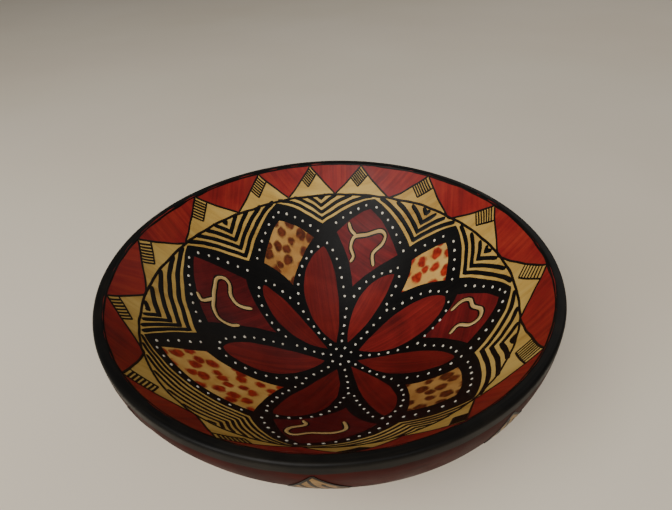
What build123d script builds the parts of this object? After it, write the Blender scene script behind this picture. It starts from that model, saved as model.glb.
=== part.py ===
from build123d import *
import os
from math import acos, asin, cos, degrees, hypot, pi, radians, sin, sqrt

# A hand-carved wooden bowl with a painted inside, in millimetres, +Z up. The origin is the
# middle of the flat foot. The wood is one carved piece, and every coat of paint on it is a
# thin solid of its own, laid on the coat below it: a cream ground coat, then the coloured
# fields and black outlines, then the raised dots and squiggles.

# Overall sizes
RIM_RADIUS = 150.0
HEIGHT = 117.0
LIP_WIDTH = 5.0
FOOT_RADIUS = 55.0
FOOT_WAIST_RADIUS = 54.0
FOOT_HEIGHT = 20.0
FOOT_EDGE = 1.0

# Paint coats
GROUND_COAT = 0.25
COLOUR_COAT = 0.25
RAISED_COAT = 0.4
WALL_COAT = GROUND_COAT + COLOUR_COAT
WOOD_RADIUS = RIM_RADIUS - WALL_COAT
WOOD_TOP = HEIGHT - WALL_COAT

# The inside is a floor arc that runs into a larger wall arc
FLOOR_ARC = 104.0
WALL_ARC = 296.0
ARC_JOIN_ANGLE = radians(30.5)

# The outside is straight for LIP_DEPTH below the rim, then a rounded belly that is fuller
# on the +X side, because it was carved by eye
LIP_DEPTH = 8.0
BAND_DEPTH = 6.0
BELLY_REACH = 103.0
BELLY_POWER = 1.7
BELLY_LEAN = 6.0
BELLY_BOTTOM = 98.0
BELLY_SECTIONS = 9
LIP_ROUNDING = 1.6
# the lip's section reaches this far in, and each rounded corner has this many facets
LIP_REACH = 12.0
LIP_FACETS = 8

# The painted flower
FLOWER = Vector(6.5, 1.5)
PETAL_BASE = 14.0
PETAL_SIDE = 50.0
# each inner petal, seen from the flower's middle: direction and length, direction of its base,
# and directions of its two sides PETAL_SIDE away
PETALS = (
    (96.5, 92, 106, 89.5, 120.5),
    (138.5, 82.5, 142, 132, 152.5),
    (189.5, 87.5, 196, 176, 207),
    (239.5, 89.5, 254, 232, 262.5),
    (285.5, 88, 300, 284, 306),
    (329.5, 87, 331, 319, 343.5),
    (372.5, 84.5, 373, 355, 390),
    (410.5, 76, 426, 408.5, 431),
)
PETAL_STEPS = 8
# each outer petal, seen from the bowl's axis: the black lobe's tip, the cell's tip, the cell's
# corners on its low and high side; and the cell's inner point from the flower's middle
CELLS = (
    (69.5, (70.5, 119), (51, 94), (85.3, 102.5), (77.5, 61)),
    (110.5, (111.5, 115), (97, 100), (127, 92), (122, 72)),
    (152.5, (153.5, 118.5), (141.5, 89), (177.5, 92), (161, 54.5)),
    (198, (201, 117.5), (196, 92), (237, 93), (222, 58)),
    (260, (261, 120), (245.5, 92), (284, 97), (270, 64)),
    (306.5, (309, 112), (296.5, 95), (325.5, 98), (309.5, 66)),
    (355, (354.5, 118), (339, 98), (369, 98), (353, 62)),
    (393, (392.5, 114), (380, 97.5), (402.5, 95), (398.5, 67)),
)
# each notch between two lobes: direction, distance, and how many stripes its chevrons have
NOTCHES = (
    (92, 108.5, 4),
    (133.5, 98, 5),
    (186.5, 97.5, 5),
    (239, 99.5, 7),
    (290, 105, 5),
    (332, 104.5, 4),
    (375.5, 104.5, 4),
    (407, 102.5, 4),
)
LOBE_TIP = 125.5
# how far a side of an outer petal bows out, and a cell's inner side bows in, for its length
LOBE_BOW = 0.09
CELL_DENT = 0.07

# The border between the flower and the black rim
CIRCLE_RADIUS = 127.0
CIRCLE_WIDTH = 1.3
BORDER_RADIUS = 143.4
# each cream triangle: directions of its base's ends and of its point
TRIANGLES = (
    (-20, 10, -6.5),
    (10, 37.5, 24.5),
    (37.5, 64, 51.5),
    (64, 86, 76.5),
    (86, 105, 95),
    (105, 126.5, 114),
    (126.5, 152.5, 138.5),
    (152.5, 181, 165),
    (181, 206, 190),
    (206, 234, 219),
    (234, 262, 247),
    (262, 285, 272),
    (285, 306, 295),
    (306, 340, 322),
)
HATCH_COUNT = 7
HATCH_WIDTH = 0.95
# how far the hatching runs along a triangle's high side, and each stroke along its low side
HATCH_RUN = 0.38
HATCH_REACH = 0.24
HATCH_MARGIN = 0.6

# Chevrons, dots, squiggles and the patches on the outside
STRIPE_SHARE = 0.56
STRIPE_START = 0.44
DOT_RADIUS = 1.0
DOT_SPACING = 7.2
DOT_CLEARANCE = 0.02
PETAL_BAND = 5.4
LOBE_BAND = 4.5
SQUIGGLE_WIDTH = 2.6
# each red cell's squiggle, and its stubs, as directions and distances from the bowl's axis
SQUIGGLES = (
    (
        ((62, 82), (64.5, 90), (61, 98), (64, 106), (70, 102), (76, 100), (77.5, 93), (75.5, 86), (77, 82)),
        ((79.5, 109), (78, 104), (75.5, 101)),
    ),
    (
        ((152.5, 72), (157, 82), (150.5, 93), (153, 101), (158, 98.5), (163, 95), (172, 87), (169, 73)),
        ((166, 105), (168, 100), (163, 95)),
    ),
    (((256, 84), (258, 90), (254, 97), (257, 107), (262, 101), (269, 100), (273, 95), (273, 84)),),
    (((349, 86), (352, 92), (349, 99), (354, 107), (358, 103), (362, 103), (364, 98), (363, 90)),),
)
PATCH_COUNT = 9
PATCH_DIRECTION = 25.5
PATCH_DEPTH = 25.5
PATCH_WIDTH = 30.0
PATCH_HEIGHT = 35.0


def polar(direction, distance):
    """A plan point at a direction in degrees and a distance from the bowl's axis."""
    return Vector(distance * cos(radians(direction)), distance * sin(radians(direction)))


def arc_middle(radius):
    """Middle of the arc that the inside follows at a distance from the axis, and its radius."""
    if radius <= FLOOR_ARC * sin(ARC_JOIN_ANGLE):
        return 0, FLOOR_ARC, FLOOR_ARC
    reach = WALL_ARC - FLOOR_ARC
    return -reach * sin(ARC_JOIN_ANGLE), FLOOR_ARC + reach * cos(ARC_JOIN_ANGLE), WALL_ARC


def rise(radius, lift=0.0):
    """Height of the inside above the middle of the bare floor, at a distance from the axis."""
    middle_radius, middle_height, arc = arc_middle(radius)
    return middle_height - sqrt((arc - lift) ** 2 - (radius - middle_radius) ** 2)


FLOOR_HEIGHT = WOOD_TOP - rise(WOOD_RADIUS - LIP_WIDTH)


def inside_point(radius, lift=0.0):
    """A profile point on the inside, as distance from the axis and height."""
    return radius, FLOOR_HEIGHT + rise(radius, lift)


def inside_arcs(lift, end_radius):
    """The inside profile from the axis to end_radius, as two tangent arcs."""
    join = (FLOOR_ARC - lift) * sin(ARC_JOIN_ANGLE)
    start = inside_point(0, lift)
    middle = inside_point(join, lift)
    end = inside_point(end_radius, lift)
    ThreePointArc(start, inside_point(join / 2, lift), middle)
    ThreePointArc(middle, inside_point((join + end_radius) / 2, lift), end)
    return start, end


def coat(low, high, end_radius):
    """A coat of paint on the whole inside, between two lifts above the wood."""
    with BuildPart() as film:
        with BuildSketch(Plane.XZ):
            with BuildLine():
                low_start, low_end = inside_arcs(low, end_radius)
                high_start, high_end = inside_arcs(high, end_radius)
                Line(low_end, high_end)
                Line(low_start, high_start)
            make_face()
        revolve(axis=Axis.Z)
    return film.part


def belly_section(depth, thickness):
    """Plane and radius of the outside at a depth below the rim, thickness outside the wood."""
    share = max(depth - LIP_DEPTH, 0) / BELLY_REACH
    radius = WOOD_RADIUS * (1 - share**BELLY_POWER) ** (1 / BELLY_POWER)
    lean = BELLY_LEAN * sin(pi * max(depth - LIP_DEPTH, 0) / (BELLY_BOTTOM - LIP_DEPTH)) ** 2
    return Plane((lean, 0, WOOD_TOP - depth)), radius + thickness


def belly(thickness, top_depth):
    """The outside of the bowl from top_depth down to the foot, as a lofted solid."""
    step = (BELLY_BOTTOM - LIP_DEPTH) / (BELLY_SECTIONS - 1)
    depths = [top_depth] + [LIP_DEPTH + step * i for i in range(BELLY_SECTIONS)]
    with BuildPart() as shape:
        for depth in depths:
            plane, radius = belly_section(depth, thickness)
            with BuildSketch(plane):
                Circle(radius)
        loft()
    return shape.part


def rounded_corner(middle, radius, start, end):
    """Section points round a corner of the lip, close enough together to feel smooth."""
    points = []
    for step in range(LIP_FACETS + 1):
        points.append(middle + polar(start + (end - start) * step / LIP_FACETS, radius))
    return points


def rim_section(growth):
    """Section through the rounded lip, grown by the thickness of its paint."""
    wall_radius, wall_height, arc = arc_middle(WOOD_RADIUS)
    wall_middle = Vector(wall_radius, FLOOR_HEIGHT + wall_height)
    corner_height = WOOD_TOP - LIP_ROUNDING
    wall_angle = degrees(asin((wall_middle.Y - corner_height) / (arc + LIP_ROUNDING)))
    inner_corner = wall_middle + polar(-wall_angle, arc + LIP_ROUNDING)
    outer_corner = Vector(WOOD_RADIUS - LIP_ROUNDING, corner_height)
    rounding = LIP_ROUNDING + growth
    low_angle = degrees(acos((WOOD_RADIUS - LIP_REACH - wall_radius) / (arc - growth)))
    low = wall_middle + polar(-low_angle, arc - growth)
    inner = rounded_corner(inner_corner, rounding, 180 - wall_angle, 90)
    outer = rounded_corner(outer_corner, rounding, 90, 0)
    with BuildSketch(Plane.XZ) as section:
        with BuildLine():
            CenterArc(wall_middle, arc - growth, -low_angle, low_angle - wall_angle)
            Polyline(inner + outer + [Vector(WOOD_RADIUS + growth, low.Y), low])
        make_face()
    return section.sketch


def petal_width(share):
    """How wide a petal is at a share of its length. It is narrow at the hub and blunt at the tip."""
    return share**0.95 * (1 - share) ** 0.68


def petal_shape(direction, length, base_direction, low, high):
    """A pointed inner petal: two curved sides from the hub to the tip."""
    base = FLOWER + polar(base_direction, PETAL_BASE)
    tip = FLOWER + polar(direction, length)
    chord = tip - base
    with BuildSketch() as shape:
        with BuildLine():
            for side in (low, high):
                widest = FLOWER + polar(side, PETAL_SIDE) - base
                share = widest.dot(chord) / chord.dot(chord)
                offset = (widest - chord * share) * (1 / petal_width(share))
                path = []
                for step in range(PETAL_STEPS + 1):
                    along = (1 - cos(pi * step / PETAL_STEPS)) / 2
                    path.append(base + chord * along + offset * petal_width(along))
                Spline(path)
        make_face()
    return shape.sketch


def bowed(start, end, share, away=Vector(0, 0)):
    """An arc that bows away from a point by a share of its length."""
    middle = (start + end) * 0.5
    ThreePointArc(start, middle + (middle - away).normalized() * (end - start).length * share, end)


def cell_shape(tip, low, high, inner):
    """An outer petal's coloured cell. Its inner sides curve in round the inner petals."""
    corners = [polar(*tip), polar(*low), FLOWER + polar(*inner), polar(*high)]
    middle = (corners[0] + corners[1] + corners[2] + corners[3]) * 0.25
    with BuildSketch() as shape:
        with BuildLine():
            bowed(corners[0], corners[1], LOBE_BOW)
            bowed(corners[1], corners[2], -CELL_DENT, middle)
            bowed(corners[2], corners[3], -CELL_DENT, middle)
            bowed(corners[3], corners[0], LOBE_BOW)
        make_face()
    return shape.sketch


def scallop_shape():
    """Everything inside the black outline of the outer petals."""
    with BuildSketch() as shape:
        with BuildLine():
            for index in range(len(NOTCHES)):
                lobe_edges(index, Vector(0, 0))
        make_face()
    return shape.sketch


def grown(shape, amount):
    """A plan shape made larger all round."""
    with BuildSketch() as larger:
        add(shape)
        offset(amount=amount, mode=Mode.REPLACE)
    return larger.sketch


def lobe_edges(index, shift):
    """The outline from one outer tip through the notch to the next tip, moved by shift."""
    notch = polar(*NOTCHES[index][:2]) + shift
    tip = polar(CELLS[index][0], LOBE_TIP) + shift
    next_tip = polar(CELLS[(index + 1) % len(CELLS)][0], LOBE_TIP) + shift
    bowed(tip, notch, LOBE_BOW)
    bowed(notch, next_tip, LOBE_BOW)
    return tip, next_tip


def wedge_shape(index, shift):
    """The ground outside the flower in one notch, moved by shift."""
    far = polar(NOTCHES[index][0], 2 * RIM_RADIUS)
    with BuildSketch() as wedge:
        with BuildLine():
            tip, next_tip = lobe_edges(index, shift)
            Polyline(next_tip, next_tip * 2, far, tip * 2, tip)
        make_face()
    return wedge.sketch


def on_inside(point, lift):
    """A plane that lies on the inside above a plan point, facing into the bowl."""
    radius = hypot(point.X, point.Y)
    middle_radius, middle_height, arc = arc_middle(radius)
    outward = point.normalized()
    middle = outward * middle_radius + Vector(0, 0, FLOOR_HEIGHT + middle_height)
    facing = (middle - Vector(point.X, point.Y, FLOOR_HEIGHT + rise(radius))).normalized()
    return Plane(origin=middle - facing * (arc - lift), z_dir=facing)


def dot_row(outline):
    """Plan points evenly spaced along an outline."""
    path = outline.faces()[0].outer_wire()
    count = round(path.length / DOT_SPACING)
    return [path.position_at(path.length * i / count, PositionMode.LENGTH) for i in range(count)]


def on_coat(outline, film):
    """The part of a coat that lies under a plan outline."""
    with BuildPart() as painted:
        with BuildSketch():
            add(outline)
        extrude(amount=HEIGHT)
        add(film, mode=Mode.INTERSECT)
    return painted.part


def finish(painted, name):
    """Labels a finished piece and writes it to its own file."""
    painted.label = name
    export_step(painted, f"parts/{name}.step")


os.makedirs("parts", exist_ok=True)

# --- The carved wood -----------------------------------------------------------------
wood_belly = belly(0, BAND_DEPTH)

with BuildPart() as bowl_body:
    add(wood_belly)
    with BuildSketch(Plane.XZ):
        with BuildLine():
            Polyline(
                (0, 0),
                (FOOT_RADIUS - FOOT_EDGE, 0),
                (FOOT_RADIUS, FOOT_EDGE),
                (FOOT_WAIST_RADIUS, FOOT_HEIGHT),
                (0, FOOT_HEIGHT),
                close=True,
            )
        make_face()
    revolve(axis=Axis.Z)
    with BuildSketch(Plane.XZ):
        with BuildLine():
            bottom, top = inside_arcs(0, WOOD_RADIUS - LIP_WIDTH)
            Polyline(top, (top[0], HEIGHT), (0, HEIGHT), bottom)
        make_face()
    revolve(axis=Axis.Z, mode=Mode.SUBTRACT)
    add(rim_section(0))
    revolve(axis=Axis.Z)
finish(bowl_body.part, "bowl_body")

# --- Coats that cover the wood ---------------------------------------------------------
ground_coat = coat(0, GROUND_COAT, BORDER_RADIUS)
finish(ground_coat, "ground_coat")

with BuildPart() as rim_band:
    with BuildSketch(Plane.XZ):
        add(rim_section(WALL_COAT))
        add(rim_section(0), mode=Mode.SUBTRACT)
        band_width = RIM_RADIUS - BORDER_RADIUS
        with Locations((BORDER_RADIUS, WOOD_TOP - BAND_DEPTH)):
            Rectangle(2 * band_width, 4 * band_width, align=(Align.MIN, Align.MIN), mode=Mode.INTERSECT)
    revolve(axis=Axis.Z)
finish(rim_band.part, "rim_band")

with BuildPart() as outer_coat:
    add(belly(WALL_COAT, BAND_DEPTH))
    add(wood_belly, mode=Mode.SUBTRACT)
    with BuildSketch(Plane.XY):
        Circle(RIM_RADIUS)
    extrude(amount=FOOT_HEIGHT, mode=Mode.SUBTRACT)
finish(outer_coat.part, "outer_coat")

# --- Plan outlines of the painting ------------------------------------------------------
petals = [petal_shape(*petal) for petal in PETALS]
cells = [cell_shape(*cell[1:]) for cell in CELLS]
scallop = scallop_shape()

with BuildSketch() as outlines_plan:
    add(scallop)
    for field in petals + cells:
        add(field, mode=Mode.SUBTRACT)

with BuildSketch() as chevrons_plan:
    for index, (direction, distance, count) in enumerate(NOTCHES):
        pitch = (CIRCLE_RADIUS - distance) / (count + 0.2)
        for stripe in range(count):
            inner = polar(direction, pitch * (stripe + STRIPE_START))
            outer = polar(direction, pitch * (stripe + STRIPE_START + STRIPE_SHARE))
            with BuildSketch(mode=Mode.PRIVATE) as chevron:
                Circle(CIRCLE_RADIUS - CIRCLE_WIDTH / 2)
                add(wedge_shape(index, inner), mode=Mode.INTERSECT)
                add(wedge_shape(index, outer), mode=Mode.SUBTRACT)
            add(chevron.sketch)

with BuildSketch() as border_plan:
    Circle(BORDER_RADIUS)
    Circle(CIRCLE_RADIUS + CIRCLE_WIDTH / 2, mode=Mode.SUBTRACT)
    for base_low, base_high, point in TRIANGLES:
        with BuildLine():
            Polyline(
                polar(base_low, CIRCLE_RADIUS),
                polar(point, BORDER_RADIUS + 1),
                polar(base_high, CIRCLE_RADIUS),
                (0, 0),
                close=True,
            )
        make_face(mode=Mode.SUBTRACT)

with BuildSketch() as hatch_plan:
    for base_low, base_high, point in TRIANGLES:
        start = polar(point, BORDER_RADIUS - HATCH_MARGIN)
        across = (polar(base_low, CIRCLE_RADIUS) - start) * HATCH_REACH
        along = (polar(base_high, CIRCLE_RADIUS) - start) * HATCH_RUN
        with BuildLine():
            Line(start + across, start + across + along)
            for stroke in range(1, HATCH_COUNT + 1):
                top = start + along * (stroke / HATCH_COUNT)
                Line(top, top + across)
        trace(line_width=HATCH_WIDTH)

# --- Fields of colour, side by side on the ground coat -----------------------------------
colour_film = coat(GROUND_COAT, WALL_COAT, BORDER_RADIUS)
with BuildSketch() as circle_plan:
    Circle(CIRCLE_RADIUS + CIRCLE_WIDTH / 2)
    Circle(CIRCLE_RADIUS - CIRCLE_WIDTH / 2, mode=Mode.SUBTRACT)

finish(on_coat(border_plan.sketch - hatch_plan.sketch, colour_film), "border_fields")
finish(on_coat(hatch_plan.sketch, colour_film), "hatch_marks")
finish(on_coat(circle_plan.sketch, colour_film), "circle_line")
finish(on_coat(chevrons_plan.sketch, colour_film), "chevron_stripes")
finish(on_coat(outlines_plan.sketch, colour_film), "petal_outlines")
for index, petal in enumerate(petals):
    finish(on_coat(petal, colour_film), f"petal_{index + 1}")
for index, cell in enumerate(cells):
    kind = "spotted_cell" if index % 2 else "red_cell"
    finish(on_coat(cell, colour_film), f"{kind}_{index // 2 + 1}")

# --- Raised lines and dots on the fields --------------------------------------------------
raised_film = coat(WALL_COAT, WALL_COAT + RAISED_COAT, BORDER_RADIUS)
for index, lines in enumerate(SQUIGGLES):
    with BuildSketch() as squiggle_plan:
        for line in lines:
            with BuildLine():
                Spline([polar(*spot) for spot in line])
            trace(line_width=SQUIGGLE_WIDTH)
    finish(on_coat(squiggle_plan.sketch, raised_film), f"squiggle_{index + 1}")

dots = [FLOWER]
for outline in [grown(petal, PETAL_BAND) for petal in petals] + [grown(scallop, -LOBE_BAND)]:
    for spot in dot_row(outline):
        if all((spot - other).length > 0.75 * DOT_SPACING for other in dots):
            dots.append(spot)
with BuildPart() as outline_dots:
    with Locations([on_inside(spot, WALL_COAT + DOT_CLEARANCE) for spot in dots]):
        Cylinder(DOT_RADIUS, RAISED_COAT, align=(Align.CENTER, Align.CENTER, Align.MIN))
finish(outline_dots.part, "outline_dots")

# --- Patches of pattern on the outside ----------------------------------------------------
with BuildPart() as outer_patches:
    for index in range(PATCH_COUNT):
        outward = polar(PATCH_DIRECTION + index * 360 / PATCH_COUNT, 1)
        with BuildSketch(Plane(origin=(0, 0, WOOD_TOP - PATCH_DEPTH), x_dir=(0, 0, 1), z_dir=outward)):
            half, tall = PATCH_WIDTH / 2, PATCH_HEIGHT / 2
            Polygon((-tall, 0), (0, -half), (tall, 0), (0, half))
        extrude(amount=2 * RIM_RADIUS)
    add(belly(WALL_COAT + COLOUR_COAT, BAND_DEPTH), mode=Mode.INTERSECT)
    add(belly(WALL_COAT, BAND_DEPTH), mode=Mode.SUBTRACT)
finish(outer_patches.part, "outer_patches")
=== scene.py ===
from math import asin, atan2, ceil, cos, degrees, hypot, pi, radians, sin, sqrt

import bpy
import numpy as np
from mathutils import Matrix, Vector, geometry, noise


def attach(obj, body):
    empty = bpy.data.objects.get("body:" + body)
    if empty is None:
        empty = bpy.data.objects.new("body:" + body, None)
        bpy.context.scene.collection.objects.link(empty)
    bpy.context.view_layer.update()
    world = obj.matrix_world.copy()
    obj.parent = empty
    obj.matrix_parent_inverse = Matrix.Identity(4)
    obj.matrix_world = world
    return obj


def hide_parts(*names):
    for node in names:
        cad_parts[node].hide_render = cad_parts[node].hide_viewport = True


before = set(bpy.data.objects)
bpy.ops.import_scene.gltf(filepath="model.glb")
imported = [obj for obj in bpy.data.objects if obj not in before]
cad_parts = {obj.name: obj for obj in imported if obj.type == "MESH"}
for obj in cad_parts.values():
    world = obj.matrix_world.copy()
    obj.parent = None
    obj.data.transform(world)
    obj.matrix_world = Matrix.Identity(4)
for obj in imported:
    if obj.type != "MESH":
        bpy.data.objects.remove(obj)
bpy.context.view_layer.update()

# The painted bowl, in millimetres until a mesh is made. The wood is the CAD node itself. Each
# coat of paint is built here as a painter lays it: the ground first, then the black flower,
# the coloured petals over it, and the thin lines and dots last.
MM = 0.001

# The bowl's shape, as in the CAD
RIM_RADIUS = 150.0
HEIGHT = 117.0
LIP_WIDTH = 5.0
LIP_ROUNDING = 1.6
WALL_COAT = 0.5
WOOD_RADIUS = RIM_RADIUS - WALL_COAT
WOOD_TOP = HEIGHT - WALL_COAT
FLOOR_ARC = 104.0
WALL_ARC = 296.0
ARC_JOIN_ANGLE = radians(30.5)
LIP_DEPTH = 8.0
BAND_DEPTH = 6.0
BELLY_REACH = 103.0
BELLY_POWER = 1.7
BELLY_LEAN = 6.0
BELLY_BOTTOM = 98.0
FOOT_HEIGHT = 20.0

# How high each coat of paint ends above the wood
GROUND = 0.25
FIELD = 0.34
OVER_FIELD = 0.42
LINE = 0.5
RAISED = 0.85
ROOT = 0.18

# Unevenness made by hand: the carved surface, and the painted edges
CARVE = 0.16
CARVE_LENGTH = 19.0
WOBBLE = 0.55
WOBBLE_LENGTH = 10.0
WOBBLE_PLACES = (Vector((0, 0, 0.5)), Vector((31.4, 17.2, 5.5)))

# Mesh spacing
STEP = 1.5
GRID = 3.2

# The flower. Each inner petal: direction and length, direction of its base, and directions of
# its two sides, seen from the flower's middle
FLOWER = (6.5, 1.5)
PETAL_BASE = 14.0
PETAL_SIDE = 50.0
PETALS = (
    (96.5, 92, 106, 89.5, 120.5),
    (138.5, 82.5, 142, 132, 152.5),
    (189.5, 87.5, 196, 176, 207),
    (239.5, 89.5, 254, 232, 262.5),
    (285.5, 88, 300, 284, 306),
    (329.5, 87, 331, 319, 343.5),
    (372.5, 84.5, 373, 355, 390),
    (410.5, 76, 426, 408.5, 431),
)
# Each outer petal from the bowl's axis: the black lobe's tip, the cell's tip, the cell's corners
# on its low and high side; and the cell's inner point from the flower's middle
CELLS = (
    (69.5, (70.5, 119), (51, 94), (85.3, 102.5), (77.5, 61)),
    (110.5, (111.5, 115), (97, 100), (127, 92), (122, 72)),
    (152.5, (153.5, 118.5), (141.5, 89), (177.5, 92), (161, 54.5)),
    (198, (201, 117.5), (196, 92), (237, 93), (222, 58)),
    (260, (261, 120), (245.5, 92), (284, 97), (270, 64)),
    (306.5, (309, 112), (296.5, 95), (325.5, 98), (309.5, 66)),
    (355, (354.5, 118), (339, 98), (369, 98), (353, 62)),
    (393, (392.5, 114), (380, 97.5), (402.5, 95), (398.5, 67)),
)
# How light each inner petal's red is, and each red cell's, beside the others. This is partly
# the paint's own unevenness and partly painted light: those on the right side are made lighter.
PETAL_TONES_AND_LIGHT = (0.85, 0.85, 1.05, 0.85, 0.95, 0.9, 1.3, 1.15)
CELL_TONES_AND_LIGHT = (1.25, 0.9, 0.85, 1.25)
# Each notch between two lobes: direction, distance, and how many stripes its chevrons have
NOTCHES = (
    (92, 108.5, 4),
    (133.5, 98, 5),
    (186.5, 97.5, 5),
    (239, 99.5, 7),
    (290, 105, 5),
    (332, 104.5, 4),
    (375.5, 104.5, 4),
    (407, 102.5, 4),
)
LOBE_TIP = 125.5
LOBE_BOW = 0.09
CELL_BOW = 0.09
CELL_DENT = 0.07

# The border
CIRCLE = 127.0
CIRCLE_WIDTH = 1.3
BORDER = 143.4
# Each cream triangle: directions of its base's ends and of its point
TRIANGLES = (
    (-20, 10, -6.5),
    (10, 37.5, 24.5),
    (37.5, 64, 51.5),
    (64, 86, 76.5),
    (86, 105, 95),
    (105, 126.5, 114),
    (126.5, 152.5, 138.5),
    (152.5, 181, 165),
    (181, 206, 190),
    (206, 234, 219),
    (234, 262, 247),
    (262, 285, 272),
    (285, 306, 295),
    (306, 340, 322),
)

# Squiggles on the red cells, as directions and distances from the bowl's axis
SQUIGGLES = (
    (
        (
            (62, 82), (64.5, 90), (61, 98), (61, 104), (64, 106), (70, 102), (76, 100), (77.5, 93),
            (75.5, 86), (77, 82),
        ),
        ((79.5, 109), (78, 104), (75.5, 101)),
    ),
    (
        (
            (152.5, 72), (156, 77), (157, 82), (155, 88), (150.5, 93), (150, 98), (153, 101),
            (158, 98.5), (163, 95), (168, 92), (172, 87), (172, 78), (169, 73),
        ),
        ((166, 105), (168, 100), (163, 95)),
    ),
    (
        (
            (256, 84), (258, 90), (254, 97), (254, 104), (257, 107), (262, 101), (269, 100),
            (273, 95), (273, 84),
        ),
    ),
    (
        (
            (349, 86), (352, 92), (349, 99), (350, 105), (354, 107), (358, 103), (362, 103),
            (364, 98), (363, 90),
        ),
    ),
)
SQUIGGLE_WIDTH = 2.7
SQUIGGLE_EDGE = 4.7

# Rows of white dots. Two rows side by side become one where they would be closer than ROW_GAP
DOT_RADIUS = 0.98
DOT_SPACING = 7.2
DOT_CLEAR = 4.464
PETAL_BAND = 5.4
ROW_GAP = 6.0

# Chevron stripes: their share of the pitch, where the lowest one lies in it, how far they draw
# together toward the lobes' tips, and how far they stay from the circle line
STRIPE_SHARE = 0.56
STRIPE_START = 0.72
STRIPE_GATHER = 0.5
STRIPE_MARGIN = 0.1

# The hatched strip at each triangle's point, as shares of the triangle's sides
HATCH_COUNT = 7
HATCH_WIDTH = 1.0
HATCH_RUN = 0.38
HATCH_REACH = 0.24
HATCH_MARGIN = 0.6
TRIANGLE_EDGE = 1.15

# Patches on the outside: nine diamonds, each with slanted strokes inside a dark edge
PATCH_COUNT = 9
PATCH_DIRECTION = 25.5
PATCH_DEPTH = 25.5
PATCH_WIDTH = 30.0
PATCH_HEIGHT = 35.0
PATCH_ROOT = 0.25
PATCH_TOP = WALL_COAT + 0.12
PATCH_EDGE_TOP = WALL_COAT + 0.2
PATCH_EDGE_WIDTH = 1.6
PATCH_STROKE_TOP = WALL_COAT + 0.19
PATCH_STROKE_WIDTH = 2.0
PATCH_STROKE_PITCH = 5.6
PATCH_STROKE_SLANT = 2.2
PATCH_STROKE_SHARE = 0.8

# The black paint on the rim: where it starts and its rows of points on the inside and outside
BAND_START = BORDER - 0.3
BAND_ROOT = 0.06
BAND_EDGE_LIFT = 0.12
BAND_IN_ROWS = 4
BAND_OUT_ROWS = 3
LIP_WEAR = 0.16

# The paint on the outside, and how deep the adze's marks are under it
WALL_TOP = WALL_COAT - 0.06
WALL_ROOT = 0.04
BELLY_ROWS = 56
ADZE = 0.22
ADZE_FADE = 12.0
TURN_STEPS = 432


# --- Places on the bowl -------------------------------------------------------------------
def polar(direction, distance, middle=(0, 0)):
    """A plan point at a direction in degrees and a distance from a middle point."""
    turn = radians(direction)
    return middle[0] + distance * cos(turn), middle[1] + distance * sin(turn)


def arc_middle(radius):
    """Middle of the arc that the inside follows at a distance from the axis, and its radius."""
    if radius <= FLOOR_ARC * sin(ARC_JOIN_ANGLE):
        return 0, FLOOR_ARC, FLOOR_ARC
    reach = WALL_ARC - FLOOR_ARC
    return -reach * sin(ARC_JOIN_ANGLE), FLOOR_ARC + reach * cos(ARC_JOIN_ANGLE), WALL_ARC


def rise(radius, lift=0.0):
    """Height of the inside above the middle of the bare floor."""
    middle_radius, middle_height, arc = arc_middle(radius)
    return middle_height - sqrt((arc - lift) ** 2 - (radius - middle_radius) ** 2)


FLOOR_HEIGHT = WOOD_TOP - rise(WOOD_RADIUS - LIP_WIDTH)


def carve(x, y):
    """Unevenness that the gouge and sanding left in the inside."""
    here = Vector((x, y, 0)) / CARVE_LENGTH
    return CARVE * min(max(0.5 + 0.6 * noise.noise(here) + 0.3 * noise.noise(here * 2.3), 0), 1)


def inside(x, y, lift):
    """The point that lies lift above the wood on the inside, over a plan point."""
    return x, y, FLOOR_HEIGHT + rise(hypot(x, y), lift) + carve(x, y)


def outside_ring(depth, lift):
    """Lean and radius of the outside at a depth below the wood's top."""
    below = max(depth - LIP_DEPTH, 0)
    share = below / BELLY_REACH
    radius = WOOD_RADIUS * (1 - share**BELLY_POWER) ** (1 / BELLY_POWER)
    lean = BELLY_LEAN * sin(pi * below / (BELLY_BOTTOM - LIP_DEPTH)) ** 2
    return lean, radius + lift


def outside(direction, depth, lift):
    """A point on the outside, by direction in degrees and depth below the wood's top."""
    lean, radius = outside_ring(depth, lift)
    x, y = polar(direction, radius)
    return x + lean, y, WOOD_TOP - depth


def patch_place(direction):
    """Places plan points of one patch, across and down from its middle, on the outside."""

    def place(across, down, lift):
        turn = degrees(across / outside_ring(PATCH_DEPTH, 0)[1])
        return outside(direction + turn, PATCH_DEPTH + down, lift)

    return place


# --- Outlines -----------------------------------------------------------------------------
def wobble(x, y):
    """A plan point moved a little, as a hand-held brush would."""
    here = Vector((x, y, 0)) / WOBBLE_LENGTH
    aside, up = (noise.noise(here + place) for place in WOBBLE_PLACES)
    return x + WOBBLE * aside, y + WOBBLE * up


def resample(path, step=STEP):
    """The same path with evenly spaced points."""
    points = np.array(path, float)
    lengths = np.r_[0, np.cumsum(np.hypot(*np.diff(points, axis=0).T))]
    count = max(ceil(lengths[-1] / step), 2)
    at = np.linspace(0, lengths[-1], count + 1)
    across, up = (np.interp(at, lengths, points[:, axis]) for axis in (0, 1))
    return [(float(x), float(y)) for x, y in zip(across, up)]


def bow(start, end, share, away=(0, 0), steps=24):
    """A side that bows away from a point, the bowl's axis, by a share of its length."""
    start, end = np.array(start, float), np.array(end, float)
    middle = (start + end) / 2 - away
    out = middle / np.hypot(*middle) * np.hypot(*(end - start)) * share
    shares = np.linspace(0, 1, steps + 1)
    return [tuple(start + (end - start) * t + out * 4 * t * (1 - t)) for t in shares]


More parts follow.
